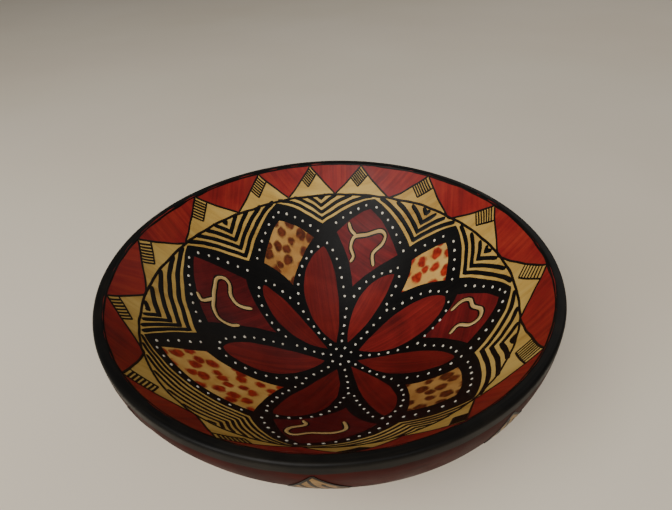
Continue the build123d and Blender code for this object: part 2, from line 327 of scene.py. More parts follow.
def smooth(points, steps=10):
    """A curve that runs evenly through given points."""
    pts = [np.array(p, float) for p in points]
    pts = [2 * pts[0] - pts[1]] + pts + [2 * pts[-1] - pts[-2]]
    path = []
    for a, b, c, d in zip(pts, pts[1:], pts[2:], pts[3:]):
        for i in range(steps):
            t = i / steps
            straight = 2 * b + (c - a) * t
            bend = (2 * a - 5 * b + 4 * c - d) * t**2
            twist = (3 * b - a - 3 * c + d) * t**3
            path.append(tuple(0.5 * (straight + bend + twist)))
    path.append(tuple(pts[-2]))
    return path


def closed(*sides):
    """One closed outline from sides that follow each other, evenly spaced."""
    outline = []
    for side in sides:
        outline += resample(side)[:-1]
    return outline


def lobe_sides(index):
    """The black outline from one outer tip in to the notch, and out to the next tip."""
    notch = polar(*NOTCHES[index][:2])
    tip = polar(CELLS[index][0], LOBE_TIP)
    next_tip = polar(CELLS[(index + 1) % len(CELLS)][0], LOBE_TIP)
    return bow(tip, notch, LOBE_BOW), bow(notch, next_tip, LOBE_BOW)


def petal_width(share):
    """How wide a petal is at a share of its length: narrow at the hub and blunt at the tip."""
    return share**0.95 * (1 - share) ** 0.68


def petal_sides(petal):
    """An inner petal's two sides, from its base to its tip."""
    direction, length, base_direction, low, high = petal
    base = np.array(polar(base_direction, PETAL_BASE, FLOWER))
    tip = np.array(polar(direction, length, FLOWER))
    sides = []
    for side in (low, high):
        widest = np.array(polar(side, PETAL_SIDE, FLOWER))
        chord = tip - base
        share = float((widest - base) @ chord / (chord @ chord))
        offset = widest - base - chord * share
        path = []
        for i in range(33):
            t = (1 - cos(pi * i / 32)) / 2
            path.append(tuple(base + chord * t + offset * petal_width(t) / petal_width(share)))
        sides.append(path)
    return sides


def cell_outline(cell):
    """An outer petal's coloured cell: its inner sides curve in round the inner petals."""
    tip, low, high = polar(*cell[1]), polar(*cell[2]), polar(*cell[3])
    inner = polar(cell[4][0], cell[4][1], FLOWER)
    middle = np.mean((tip, low, high, inner), axis=0)
    return closed(
        bow(low, tip, CELL_BOW),
        bow(tip, high, CELL_BOW),
        bow(high, inner, -CELL_DENT, middle),
        bow(inner, low, -CELL_DENT, middle),
    )


def within(outline, points):
    """Which points are inside a closed outline."""
    poly = np.array(outline)
    nxt = np.roll(poly, -1, axis=0)
    x, y = points[:, 0][:, None], points[:, 1][:, None]
    crosses = (poly[:, 1] > y) != (nxt[:, 1] > y)
    with np.errstate(divide="ignore", invalid="ignore"):
        at = poly[:, 0] + (y - poly[:, 1]) * (nxt[:, 0] - poly[:, 0]) / (nxt[:, 1] - poly[:, 1])
    return (crosses & (x < at)).sum(axis=1) % 2 == 1


def fill(outline, grid=GRID):
    """Points and triangles that fill a closed outline, with an even grid inside."""
    edge = np.array(outline, float)
    low, high = edge.min(0), edge.max(0)
    rows = np.arange(low[1], high[1], grid * sqrt(3) / 2)
    points = []
    for i, y in enumerate(rows):
        for x in np.arange(low[0] + (i % 2) * grid / 2, high[0], grid):
            points.append((x, y))
    kept = np.zeros((0, 2))
    if points:
        points = np.array(points)
        points = points[within(outline, points)]
        if len(points):
            gap = np.sqrt(((points[:, None, :] - edge[None, :, :]) ** 2).sum(2)).min(1)
            kept = points[gap > grid * 0.5]
    verts = [Vector(p) for p in edge] + [Vector(p) for p in kept]
    ring = list(range(len(edge)))
    out = geometry.delaunay_2d_cdt(verts, [], [ring], 1, 1e-6, False)
    triangles = []
    plan = np.array([(v.x, v.y) for v in out[0]])
    faces = np.array([face[:3] for face in out[2]])
    a, b, c = plan[faces[:, 0]], plan[faces[:, 1]], plan[faces[:, 2]]
    area = (b[:, 0] - a[:, 0]) * (c[:, 1] - a[:, 1]) - (b[:, 1] - a[:, 1]) * (c[:, 0] - a[:, 0])
    for face, size, held in zip(faces.tolist(), area, within(outline, (a + b + c) / 3)):
        if held and abs(size) > 1e-6:
            triangles.append(tuple(face) if size > 0 else tuple(reversed(face)))
    return plan.tolist(), triangles


# --- Meshes of paint ----------------------------------------------------------------------
# A stroke's section: places across and up, as shares of its half width and of its height
FLAT = ((-1, 0), (-0.9, 1), (0, 1), (0.9, 1), (1, 0))
DOMED = ((-1, 0), (-0.78, 0.6), (0, 1), (0.78, 0.6), (1, 0))


class Paint:
    """One coat of paint: closed thin sheets, brush strokes and dots, gathered in one mesh."""

    def __init__(self, place=inside):
        self.place = place
        self.points = []
        self.faces = []
        self.materials = []
        self.grains = []
        self.tone = 1.0

    def add(self, points, faces, grains, material):
        start = len(self.points)
        self.points += points
        self.grains += grains
        self.faces += [tuple(start + i for i in face) for face in faces]
        self.materials += [material] * len(faces)

    def sheet(self, outline, top, root=ROOT, along=(0, 0), direction=0.0, seed=0.0, shaky=True):
        """A filled outline. The paint was brushed in direction, starting at along."""
        if shaky:
            outline = [wobble(x, y) for x, y in outline]
        plan, triangles = fill(outline)
        count = len(plan)
        points = [self.place(x, y, lift) for lift in (top, root) for x, y in plan]
        used = [(a, b) for face in triangles for a, b in zip(face, face[1:] + face[:1])]
        known = set(used)
        rim = [(a, b) for a, b in used if (b, a) not in known]
        faces = list(triangles)
        faces += [(c + count, b + count, a + count) for a, b, c in triangles]
        faces += [(a, a + count, b + count, b) for a, b in rim]
        c, s = cos(radians(direction)), sin(radians(direction))
        grains = []
        for x, y in plan:
            dx, dy = x - along[0], y - along[1]
            grains.append((dx * c + dy * s, dy * c - dx * s, seed))
        self.add(points, faces, grains * 2, 0)

    def stroke(
        self, path, width, top, root=ROOT, seed=0.0, material=0, taper=0.35, domed=False, flare=0.0
    ):
        """A brush stroke along a path, flat or domed. Its ends thin out, and flare widens them."""
        pts = np.array([wobble(x, y) for x, y in resample(path, min(STEP, width))])
        ahead = np.diff(pts, axis=0)
        ahead /= np.maximum(np.hypot(*ahead.T), 1e-9)[:, None]
        before = np.vstack([ahead[:1], ahead])
        after = np.vstack([ahead, ahead[-1:]])
        mean = before + after
        mean /= np.maximum(np.hypot(*mean.T), 1e-9)[:, None]
        stretch = 1 / np.maximum((mean * after).sum(1), 0.45)
        side = np.c_[-mean[:, 1], mean[:, 0]]
        travelled = np.r_[0, np.cumsum(np.hypot(*np.diff(pts, axis=0).T))]
        total = travelled[-1]
        points, grains = [], []
        profile = DOMED if domed else FLAT
        for p, n, k, s in zip(pts, side, stretch, travelled):
            from_end = min(s, total - s) / max(width, 1e-6)
            press = 1 + 0.14 * noise.noise(Vector((s / 6, seed * 7.7, width)))
            half = width / 2 * press * (taper + (1 - taper) * min(from_end * 1.6, 1) ** 0.5)
            half *= 1 + flare * abs(2 * s / total - 1) ** 1.5
            for across, up in profile:
                x, y = p + n * across * half * k
                lift = root + (top - root) * up
                points.append(self.place(float(x), float(y), lift))
                grains.append((float(s), across * half, seed))
        faces = []
        ring = len(profile)
        for i in range(len(pts) - 1):
            for j in range(ring):
                a, b = i * ring + j, i * ring + (j + 1) % ring
                faces.append((a, b, b + ring, a + ring)[::-1])
        faces.append(tuple(range(ring)))
        faces.append(tuple(reversed(range(len(points) - ring, len(points)))))
        self.add(points, faces, grains, material)

    def dot(self, x, y, radius, top, root, seed):
        """A drop of paint, domed and not quite round, that lies flat on the sloping wall."""
        sides = 12
        rings = ((1, 0), (0.93, 0.45), (0.66, 0.82), (0.3, 0.97))
        facing = atan2(y, x)
        middle_radius, _, arc = arc_middle(hypot(x, y))
        flat = sqrt(1 - ((hypot(x, y) - middle_radius) / arc) ** 2)
        points, grains = [], []
        for share, up in rings:
            for j in range(sides):
                turn = 2 * pi * j / sides
                uneven = 1 + 0.06 * sin(2 * turn + seed * 9) + 0.05 * sin(3 * turn + seed * 5)
                reach = radius * share * uneven
                out, along = reach * cos(turn) * flat, reach * sin(turn)
                px = x + out * cos(facing) - along * sin(facing)
                py = y + out * sin(facing) + along * cos(facing)
                points.append(self.place(px, py, root + (top - root) * up))
                grains.append((px - x, py - y, seed))
        points.append(self.place(x, y, top))
        grains.append((0, 0, seed))
        faces = [tuple(reversed(range(sides)))]
        for i in range(len(rings) - 1):
            for j in range(sides):
                a, b = i * sides + j, i * sides + (j + 1) % sides
                faces.append((a, b, b + sides, a + sides))
        last = (len(rings) - 1) * sides
        faces += [(last + j, last + (j + 1) % sides, last + sides) for j in range(sides)]
        self.add(points, faces, grains, 0)

    def finish(self, name, materials, node):
        """Makes the Blender object. It stands for the CAD node of the same coat."""
        mesh = bpy.data.meshes.new(name)
        mesh.from_pydata([(x * MM, y * MM, z * MM) for x, y, z in self.points], [], self.faces)
        grain = mesh.attributes.new("grain", "FLOAT_VECTOR", "POINT")
        grain.data.foreach_set("vector", np.array(self.grains, np.float32).ravel())
        tone = mesh.attributes.new("tone", "FLOAT", "POINT")
        tone.data.foreach_set("value", np.full(len(self.points), self.tone, np.float32))
        for material in materials:
            mesh.materials.append(material)
        mesh.polygons.foreach_set("material_index", self.materials)
        mesh.validate()
        mesh.shade_smooth()
        mesh.set_sharp_from_angle(angle=radians(38))
        piece = bpy.data.objects.new(name, mesh)
        bpy.context.scene.collection.objects.link(piece)
        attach(piece, "root")
        if node:
            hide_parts(node)
        return piece


def revolved(profile, leans, shake):
    """Points and faces of a closed profile (radius, height) turned round the axis."""
    points, grains, faces = [], [], []
    rows = len(profile)
    steps = np.hypot(*np.diff(np.array(profile), axis=0).T)
    travelled = np.r_[0, np.cumsum(steps)].tolist()
    for i in range(TURN_STEPS):
        direction = 360 * i / TURN_STEPS
        for j, (radius, height) in enumerate(profile):
            radius, height = shake(direction, j, radius, height)
            x, y = polar(direction, radius)
            points.append((x + leans[j], y, height))
            grains.append((radians(direction) * RIM_RADIUS, travelled[j], 0.5))
    for i in range(TURN_STEPS):
        here, following = i * rows, (i + 1) % TURN_STEPS * rows
        for j in range(rows):
            k = (j + 1) % rows
            faces.append((following + j, following + k, here + k, here + j))
    return points, faces, grains


# --- Materials ----------------------------------------------------------------------------
# The spots' spacing is in millimetres. Relief is in metres, as shaders take it
SPOT_SPACING = 9.2
PAINT_RELIEF = 0.00012
WOOD_RELIEF = 0.0006
GLOSS = 0.14


def nodes_of(name):
    """A new material with its node tree and its shader."""
    material = bpy.data.materials.new(name)
    material.use_nodes = True
    tree = material.node_tree
    shader = tree.nodes["Principled BSDF"]
    return material, tree, shader


def make(tree, kind, **values):
    """Adds a node and sets its properties and input values."""
    node = tree.nodes.new(kind)
    for key, value in values.items():
        if key in node.inputs:
            node.inputs[key].default_value = value
        else:
            setattr(node, key, value)
    return node


def noise_of(tree, vector, scale, detail=4.0, rough=0.55, distort=0.0):
    """A noise texture over a vector."""
    node = make(tree, "ShaderNodeTexNoise", Scale=scale, Detail=detail, Roughness=rough)
    node.inputs["Distortion"].default_value = distort
    tree.links.new(vector, node.inputs["Vector"])
    return node.outputs["Fac"]


def ramp_of(tree, factor, stops):
    """A colour ramp with linear stops of (position, colour)."""
    node = tree.nodes.new("ShaderNodeValToRGB")
    ramp = node.color_ramp
    while len(ramp.elements) < len(stops):
        ramp.elements.new(0.5)
    for element, (position, colour) in zip(ramp.elements, stops):
        element.position = position
        element.color = (*colour, 1)
    tree.links.new(factor, node.inputs["Fac"])
    return node.outputs["Color"]


def range_of(tree, value, low, high, to_low, to_high):
    """Maps a value from one range to another."""
    node = make(tree, "ShaderNodeMapRange")
    node.inputs["From Min"].default_value = low
    node.inputs["From Max"].default_value = high
    node.inputs["To Min"].default_value = to_low
    node.inputs["To Max"].default_value = to_high
    tree.links.new(value, node.inputs["Value"])
    return node.outputs["Result"]


def mix_of(tree, factor, a, b):
    """Mixes two colours. Each is an output or a colour value."""
    node = tree.nodes.new("ShaderNodeMix")
    node.data_type = "RGBA"
    for socket, value in ((node.inputs[0], factor), (node.inputs[6], a), (node.inputs[7], b)):
        if isinstance(value, bpy.types.NodeSocket):
            tree.links.new(value, socket)
        elif isinstance(value, tuple):
            socket.default_value = (*value, 1)
        else:
            socket.default_value = value
    return node.outputs[2]


def stretched(tree, scale):
    """The brush coordinates, along and across the strokes, scaled by a vector."""
    grain = make(tree, "ShaderNodeAttribute", attribute_name="grain")
    node = make(tree, "ShaderNodeMapping", Scale=scale)
    tree.links.new(grain.outputs["Vector"], node.inputs["Vector"])
    return node.outputs["Vector"]


def placed(tree, scale=(1, 1, 1)):
    """Object coordinates in metres, scaled by a vector."""
    place = tree.nodes.new("ShaderNodeTexCoord")
    node = make(tree, "ShaderNodeMapping", Scale=scale)
    tree.links.new(place.outputs["Object"], node.inputs["Vector"])
    return node.outputs["Vector"]


def varnish(tree, shader, gloss, weight=0.06, shine=GLOSS):
    """Satin varnish over the paint, with dull and rubbed places."""
    dull = noise_of(tree, placed(tree), 38, 5)
    roughness = range_of(tree, dull, 0.3, 0.7, gloss - 0.07, gloss + 0.12)
    tree.links.new(roughness, shader.inputs["Roughness"])
    shader.inputs["Coat Weight"].default_value = weight
    shader.inputs["Coat Roughness"].default_value = 0.3
    shader.inputs["Coat IOR"].default_value = 1.4
    shader.inputs["Specular IOR Level"].default_value = shine


def bump(tree, shader, heights, distance):
    """Surface relief from height outputs, each with its strength, in a chain."""
    last = None
    for height, strength in heights:
        node = make(tree, "ShaderNodeBump", Strength=strength, Distance=distance)
        tree.links.new(height, node.inputs["Height"])
        if last:
            tree.links.new(last, node.inputs["Normal"])
        last = node.outputs["Normal"]
    tree.links.new(last, shader.inputs["Normal"])


def rgb(r, g, b):
    """A colour given as 8-bit sRGB, as linear values."""
    shares = (r / 255, g / 255, b / 255)
    return tuple(v / 12.92 if v <= 0.04045 else ((v + 0.055) / 1.055) ** 2.4 for v in shares)


def brushed(
    name,
    colours,
    gloss=0.42,
    streak=(0.012, 0.35, 3.0),
    patchy=26.0,
    speck=0.35,
    weight=0.06,
    shine=GLOSS,
):
    """Paint laid on with a brush: streaks along the strokes, uneven cover and small specks."""
    dark, base, light = (rgb(*colour) for colour in colours)
    material, tree, shader = nodes_of(name)
    streaks = noise_of(tree, stretched(tree, streak), 1.0, 6, 0.62, 0.3)
    cover = noise_of(tree, placed(tree), patchy, 5, 0.6, 0.4)
    colour = ramp_of(tree, streaks, ((0.30, dark), (0.50, base), (0.72, light)))
    patch = ramp_of(tree, cover, ((0.30, dark), (0.52, base), (0.75, light)))
    colour = mix_of(tree, 0.5, colour, patch)
    specks = noise_of(tree, placed(tree), 900, 2)
    dusk = range_of(tree, specks, 0.62, 0.78, 0.0, speck)
    colour = mix_of(tree, dusk, colour, dark)
    # this attribute sets how light the paint is: on the petals and red cells it holds painted
    # light as well as the paint's own unevenness
    tone = make(tree, "ShaderNodeAttribute", attribute_name="tone")
    deeper = make(tree, "ShaderNodeHueSaturation")
    tree.links.new(colour, deeper.inputs["Color"])
    tree.links.new(tone.outputs["Fac"], deeper.inputs["Value"])
    tree.links.new(deeper.outputs["Color"], shader.inputs["Base Color"])
    varnish(tree, shader, gloss, weight, shine)
    fine = noise_of(tree, stretched(tree, (0.05, 2.2, 3.0)), 1.0, 4)
    bump(tree, shader, ((fine, 0.3), (cover, 0.3), (specks, 0.09)), PAINT_RELIEF)
    return material


def spotted(name, spot_colours, ground_colours):
    """Cream paint dabbed with soft, uneven spots."""
    spot_dark, spot = (rgb(*colour) for colour in spot_colours)
    ground, pale = (rgb(*colour) for colour in ground_colours)
    material, tree, shader = nodes_of(name)
    grain = stretched(tree, (1, 1, 1))
    warp = make(tree, "ShaderNodeTexNoise", Scale=0.16, Detail=3.0)
    tree.links.new(grain, warp.inputs["Vector"])
    shift = make(tree, "ShaderNodeVectorMath", operation="MULTIPLY_ADD")
    tree.links.new(warp.outputs["Color"], shift.inputs[0])
    shift.inputs[1].default_value = (5.0, 5.0, 0.0)
    tree.links.new(grain, shift.inputs[2])
    cells = make(tree, "ShaderNodeTexVoronoi", Randomness=0.75, voronoi_dimensions="2D")
    cells.inputs["Scale"].default_value = 1 / SPOT_SPACING
    tree.links.new(shift.outputs["Vector"], cells.inputs["Vector"])
    uneven = range_of(tree, cells.outputs["Color"], 0.0, 1.0, -0.1, 0.1)
    far = make(tree, "ShaderNodeMath", operation="ADD")
    tree.links.new(cells.outputs["Distance"], far.inputs[0])
    tree.links.new(uneven, far.inputs[1])
    base = ramp_of(tree, noise_of(tree, placed(tree), 60, 5), ((0.3, ground), (0.7, pale)))
    blot = ramp_of(tree, noise_of(tree, placed(tree), 260, 4), ((0.35, spot_dark), (0.7, spot)))
    edge = range_of(tree, far.outputs["Value"], 0.30, 0.47, 1.0, 0.0)
    colour = mix_of(tree, edge, base, blot)
    tree.links.new(colour, shader.inputs["Base Color"])
    varnish(tree, shader, 0.40)
    fine = noise_of(tree, placed(tree), 420, 4)
    bump(tree, shader, ((fine, 0.24), (edge, 0.3)), PAINT_RELIEF)
    return material


def wood(name):
    """Carved hardwood, oiled: long grain, darker pores and the marks of the gouge."""
    material, tree, shader = nodes_of(name)
    place = placed(tree, (1.0, 9.0, 1.0))
    rings = make(tree, "ShaderNodeTexWave", wave_type="BANDS", bands_direction="Y", Scale=14.0)
    rings.inputs["Distortion"].default_value = 7.0
    rings.inputs["Detail"].default_value = 4.0
    rings.inputs["Detail Scale"].default_value = 1.4
    tree.links.new(placed(tree, (0.25, 1.0, 0.9)), rings.inputs["Vector"])
    grain = noise_of(tree, place, 34, 8, 0.65, 0.4)
    pores = noise_of(tree, placed(tree, (1.0, 22.0, 22.0)), 60, 3)
    yearly = ((0.15, rgb(112, 70, 44)), (0.55, rgb(148, 98, 64)), (0.9, rgb(166, 116, 78)))
    fibres = ((0.3, rgb(92, 56, 36)), (0.7, rgb(160, 110, 74)))
    colour = ramp_of(tree, rings.outputs["Fac"], yearly)
    colour = mix_of(tree, 0.45, colour, ramp_of(tree, grain, fibres))
    colour = mix_of(tree, range_of(tree, pores, 0.56, 0.7, 0.0, 0.55), colour, rgb(58, 34, 22))
    tree.links.new(colour, shader.inputs["Base Color"])
    gouge = make(tree, "ShaderNodeTexVoronoi", feature="SMOOTH_F1", Scale=85.0, Smoothness=0.6)
    tree.links.new(placed(tree, (1.0, 1.0, 0.55)), gouge.inputs["Vector"])
    tree.links.new(range_of(tree, grain, 0.3, 0.7, 0.5, 0.68), shader.inputs["Roughness"])
    shader.inputs["Specular IOR Level"].default_value = GLOSS
    marks = gouge.outputs["Distance"]
    bump(tree, shader, ((marks, 0.48), (grain, 0.21), (pores, 0.18)), WOOD_RELIEF)
    return material


# Each paint's dark, middle and light colour
red_paint = brushed("earth_red", ((60, 13, 13), (104, 24, 22), (134, 38, 32)))
cell_red = brushed("deep_red", ((48, 11, 13), (92, 19, 21), (122, 31, 30)), patchy=34.0)
border_red = brushed(
    "orange_red", ((92, 20, 21), (136, 33, 30), (168, 58, 40)), streak=(0.02, 0.28, 3.0)
)
cream = brushed(
    "cream",
    ((146, 108, 50), (194, 158, 82), (214, 184, 108)),
    gloss=0.44,
    streak=(0.02, 0.18, 1.0),
    patchy=18.0,
    speck=0.3,
)
patch_cream = brushed("patch_cream", ((96, 70, 40), (140, 108, 64), (164, 134, 86)), patchy=30.0)
line_cream = brushed(
    "raised_cream", ((150, 116, 66), (200, 168, 108), (220, 194, 138)), gloss=0.4, speck=0.2
)
black = brushed(
    "black",
    ((6, 6, 6), (11, 10, 10), (22, 20, 18)),
    gloss=0.44,
    streak=(0.03, 0.5, 3.0),
    patchy=40.0,
)
rim_black = brushed(
    "rim_black",
    ((7, 7, 6), (13, 12, 11), (32, 28, 22)),
    gloss=0.48,
    streak=(0.02, 0.6, 1.0),
    patchy=30.0,
    weight=0.12,
    shine=0.08,
)
line_black = brushed(
    "line_black", ((10, 7, 6), (20, 14, 11), (40, 26, 18)), gloss=0.45, speck=0.2
)
maroon = brushed(
    "maroon",
    ((26, 7, 6), (56, 15, 12), (82, 26, 18)),
    gloss=0.5,
    streak=(0.008, 0.12, 1.0),
    patchy=22.0,
    weight=0.0,
    shine=0.05,
)
white = brushed(
    "dot_white", ((190, 182, 160), (222, 216, 200), (238, 234, 224)), gloss=0.38, speck=0.15
)
red_spots = spotted(
    "red_spots", ((122, 28, 18), (176, 54, 32)), ((186, 136, 66), (212, 174, 102))
)
# painted shade: a darker, browner copy of the spotted paint, used to paint shade on two spotted
# cells
shaded_spots = spotted(
    "shaded_spots", ((70, 32, 16), (112, 52, 26)), ((150, 100, 48), (186, 142, 80))
)

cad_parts["bowl_body"].data.materials.clear()
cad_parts["bowl_body"].data.materials.append(wood("carved_wood"))

# --- The ground and the border ------------------------------------------------------------
ground = Paint()
edge_of_ground = closed([polar(a, BORDER + 0.7) for a in range(0, 361, 2)])
ground.sheet(edge_of_ground, GROUND, root=0.03, seed=0.3, shaky=False)
ground.finish("ground_paint", [cream], "ground_coat")

fields = Paint()
edges = Paint()
hatching = Paint()
for index, (base_low, base_high, point) in enumerate(TRIANGLES):
    next_point = (TRIANGLES + ((0, 0, TRIANGLES[0][2] + 360),))[index + 1][2]
    valley = polar(base_high, CIRCLE)
    top = [polar(point + (next_point - point) * i / 12, BORDER + 0.6) for i in range(13)]
    field = closed([valley, top[-1]], top[::-1], [top[0], valley])
    brushing = (point + next_point) / 2 + 50 * sin(index * 2.1)
    fields.sheet(field, FIELD, along=valley, direction=brushing, seed=index * 1.7)
    peak = polar(point, BORDER)
    edges.stroke([polar(base_low, CIRCLE), peak], TRIANGLE_EDGE, OVER_FIELD, seed=index)
    edges.stroke([peak, valley], TRIANGLE_EDGE, OVER_FIELD, seed=index + 0.5)
    # the hatched strip fills the triangle's point: strokes along the low side, and a line below
    start = np.array(polar(point, BORDER - HATCH_MARGIN))
    across = (np.array(polar(base_low, CIRCLE)) - start) * HATCH_REACH
    along = (np.array(valley) - start) * HATCH_RUN
    ends = (start + across, start + across + along)
    hatching.stroke(ends, HATCH_WIDTH, LINE, seed=index, taper=0.8)
    for stroke in range(1, HATCH_COUNT + 1):
        high = start + along * stroke / HATCH_COUNT
        seed = index + stroke * 0.1
        hatching.stroke((high, high + across), HATCH_WIDTH, LINE, seed=seed, taper=0.8)
fields.finish("border_reds", [border_red], "border_fields")
edges.finish("triangle_edges", [line_black], None)
hatching.finish("hatch_strokes", [line_black], "hatch_marks")

circle = Paint()
round_trip = [polar(a, CIRCLE + 0.9 * sin(radians(a * 2 + 40))) for a in range(0, 363, 2)]
circle.stroke(round_trip, CIRCLE_WIDTH, LINE, taper=1.0)
circle.finish("circle_stroke", [line_black], "circle_line")

# --- The black flower ---------------------------------------------------------------------
flower = Paint()
outline = []
for index in range(len(NOTCHES)):
    inward, outward = lobe_sides(index)
    outline += resample(inward)[:-1] + resample(outward)[:-1]
flower.sheet(outline, FIELD, seed=2.0)
flower.finish("flower_black", [black], "petal_outlines")

# --- Chevrons in the notches --------------------------------------------------------------
chevrons = Paint()
for index, (direction, distance, count) in enumerate(NOTCHES):
    inward, outward = lobe_sides(index)
    vee = np.array(inward + outward[1:])
    away = np.array(polar(direction, 1))
    pitch = (CIRCLE - distance) / (count + 0.2)
    # the stripes draw together toward the lobes' tips
    from_notch = np.abs(np.linspace(-1, 1, len(vee)))
    spread = 1 - STRIPE_GATHER * from_notch**2
    for stripe in range(count):
        moved = vee + away * pitch * (stripe + STRIPE_START) * spread[:, None]
        kept = np.nonzero(np.hypot(*moved.T) < CIRCLE - STRIPE_MARGIN)[0]
        if len(kept) < 3:
            continue
        line = moved[kept[0] : kept[-1] + 1]
        width = pitch * STRIPE_SHARE
        seed = index + stripe * 0.3
        chevrons.stroke(line, width, FIELD, seed=seed, taper=0.6, flare=-0.12)
chevrons.finish("chevron_strokes", [black], "chevron_stripes")

# --- Petals and cells ---------------------------------------------------------------------
for index, petal in enumerate(PETALS):
    coat = Paint()
    # painted light: the petals on the right side are made lighter than the rest
    coat.tone = PETAL_TONES_AND_LIGHT[index]
    low_side, high_side = petal_sides(petal)
    base = polar(petal[2], PETAL_BASE, FLOWER)
    shape = closed(low_side, high_side[::-1])
    coat.sheet(shape, OVER_FIELD, along=base, direction=petal[0], seed=index * 3.1)
    coat.finish(f"petal_paint_{index + 1}", [red_paint], f"petal_{index + 1}")

# red cells and spotted cells take turns round the flower
for index, cell in enumerate(CELLS):
    number = index // 2 + 1
    tip = polar(*cell[1])
    brushing = cell[0] + 70
    coat = Paint()
    coat.sheet(cell_outline(cell), OVER_FIELD, along=tip, direction=brushing, seed=index * 2.3)
    if index % 2:
        # the first and third spotted cells, at the far left and the near right, take the darker
        # copy as painted shade
        look = shaded_spots if number % 2 else red_spots
        coat.finish(
            f"spotted_cell_paint_{number}", [look], f"spotted_cell_{number}"
        )
        continue
    # painted light: the red cells on the right side are made lighter than the rest
    coat.tone = CELL_TONES_AND_LIGHT[number - 1]
    coat.finish(f"red_cell_paint_{number}", [cell_red], f"red_cell_{number}")
    squiggle = Paint()
    for part, line in enumerate(SQUIGGLES[number - 1]):
        path = smooth([polar(*spot) for spot in line])
        top = RAISED - 0.1 * part
        squiggle.stroke(path, SQUIGGLE_EDGE, LINE, seed=part, material=1, taper=0.6)
        squiggle.stroke(path, SQUIGGLE_WIDTH, top, seed=part, taper=0.6, domed=True)
    looks = [line_cream, line_black]
    squiggle.finish(f"squiggle_line_{number}", looks, f"squiggle_{number}")

# --- Rows of dots -------------------------------------------------------------------------
dots = Paint()
taken = []


def dot_row(path, first=0.0):
    """Dots along a path, leaving out those too near one already there."""
    points = np.array(path, float)
    lengths = np.r_[0, np.cumsum(np.hypot(*np.diff(points, axis=0).T))]
    at = first
    while at < lengths[-1]:
        x, y = (float(np.interp(at, lengths, points[:, k])) for k in (0, 1))
        x, y = wobble(x, y)
        if all(hypot(x - a, y - b) > DOT_CLEAR for a, b in taken):
            taken.append((x, y))
            seed = len(taken) * 0.618 % 1
            dots.dot(x, y, DOT_RADIUS * (0.88 + 0.3 * seed), RAISED, LINE - 0.2, seed)
        at += DOT_SPACING


def side_direction(side, distance):
    """Direction of a petal's side at a distance from the flower's middle."""
    points = np.array(side) - np.array(FLOWER)
    reach = np.hypot(*points.T)
    turn = np.unwrap(np.arctan2(points[:, 1], points[:, 0]))
    return degrees(float(np.interp(distance, reach, turn)))


dot_row([FLOWER, (FLOWER[0] + 0.1, FLOWER[1])])
dot_row([polar(a, 8.5, FLOWER) for a in range(20, 381, 5)])
sides = [petal_sides(petal) for petal in PETALS]
for index, petal in enumerate(PETALS):
    following = (index + 1) % len(PETALS)
    # one row between two petals near the hub, and two rows where there is room for them
    trunk, left, right = [], [], []
    for distance in np.arange(15, 96, 1.0):
        mine = side_direction(sides[index][1], min(distance, petal[1]))
        other = side_direction(sides[following][0], min(distance, PETALS[following][1]))
        other += 360 * round((mine + 22 - other) / 360)
        past_mine = max(distance - petal[1], 0)
        past_other = max(distance - PETALS[following][1], 0)
        low = mine + degrees(max(PETAL_BAND - past_mine, 0) / distance)
        high = other - degrees(max(PETAL_BAND - past_other, 0) / distance)
        if radians(high - low) * distance < ROW_GAP and not left:
            trunk.append(polar((mine + other) / 2, distance, FLOWER))
        else:
            if distance <= petal[1] + PETAL_BAND:
                left.append(polar(low, distance, FLOWER))
            if distance <= PETALS[following][1] + PETAL_BAND:
                right.append(polar(high, distance, FLOWER))
    if len(trunk) > 1:
        dot_row(trunk)
    for branch in (left, right):
        if len(branch) > 1:
            dot_row(branch, first=DOT_SPACING * 0.4)
for index, cell in enumerate(CELLS):
    tip = polar(cell[0], LOBE_TIP)
    before, after = polar(*NOTCHES[index - 1][:2]), polar(*NOTCHES[index][:2])
    cell_tip, low, high = polar(*cell[1]), polar(*cell[2]), polar(*cell[3])
    mid_tip = tuple((np.array(tip) + cell_tip) / 2)
    dot_row(bow(tuple((np.array(before) + low) / 2), mid_tip, LOBE_BOW))
    dot_row(bow(mid_tip, tuple((np.array(after) + high) / 2), LOBE_BOW), first=DOT_SPACING * 0.8)
dots.finish("dots", [white], "outline_dots")

# --- The rim and the outside --------------------------------------------------------------
# the lip's rounded corners: how the wall leans at the rim, and the corners' middles
wall_angle = asin((WOOD_RADIUS - LIP_WIDTH - arc_middle(WOOD_RADIUS)[0]) / WALL_ARC)
corner_height = WOOD_TOP - LIP_ROUNDING
wall_share = (1 - cos(wall_angle)) / sin(wall_angle)
inner_corner = WOOD_RADIUS - LIP_WIDTH + LIP_ROUNDING * wall_share
outer_corner = WOOD_RADIUS - LIP_ROUNDING


def rim_profile(lift):
    """The lip's section at a lift above the wood, from the inside over to the outside."""
    rounding = LIP_ROUNDING + lift
    inside_end = WOOD_RADIUS - LIP_WIDTH - 0.7
    turns = [(inner_corner, pi / 2 + wall_angle * (1 - i / 5)) for i in range(6)]
    turns += [(outer_corner, pi / 2 * (1 - i / 6)) for i in range(7)]
    profile = []
    for i in range(BAND_IN_ROWS):
        radius = BAND_START + (inside_end - BAND_START) * i / BAND_IN_ROWS
        profile.append((radius, FLOOR_HEIGHT + rise(radius, lift)))
    for corner, turn in turns:
        profile.append((corner + rounding * cos(turn), corner_height + rounding * sin(turn)))
    for i in range(1, BAND_OUT_ROWS + 1):
        drop = (BAND_DEPTH - LIP_ROUNDING) * i / BAND_OUT_ROWS
        profile.append((WOOD_RADIUS + lift, corner_height - drop))
    return profile


rim_top = rim_profile(WALL_COAT)
rim_low = rim_profile(BAND_ROOT)


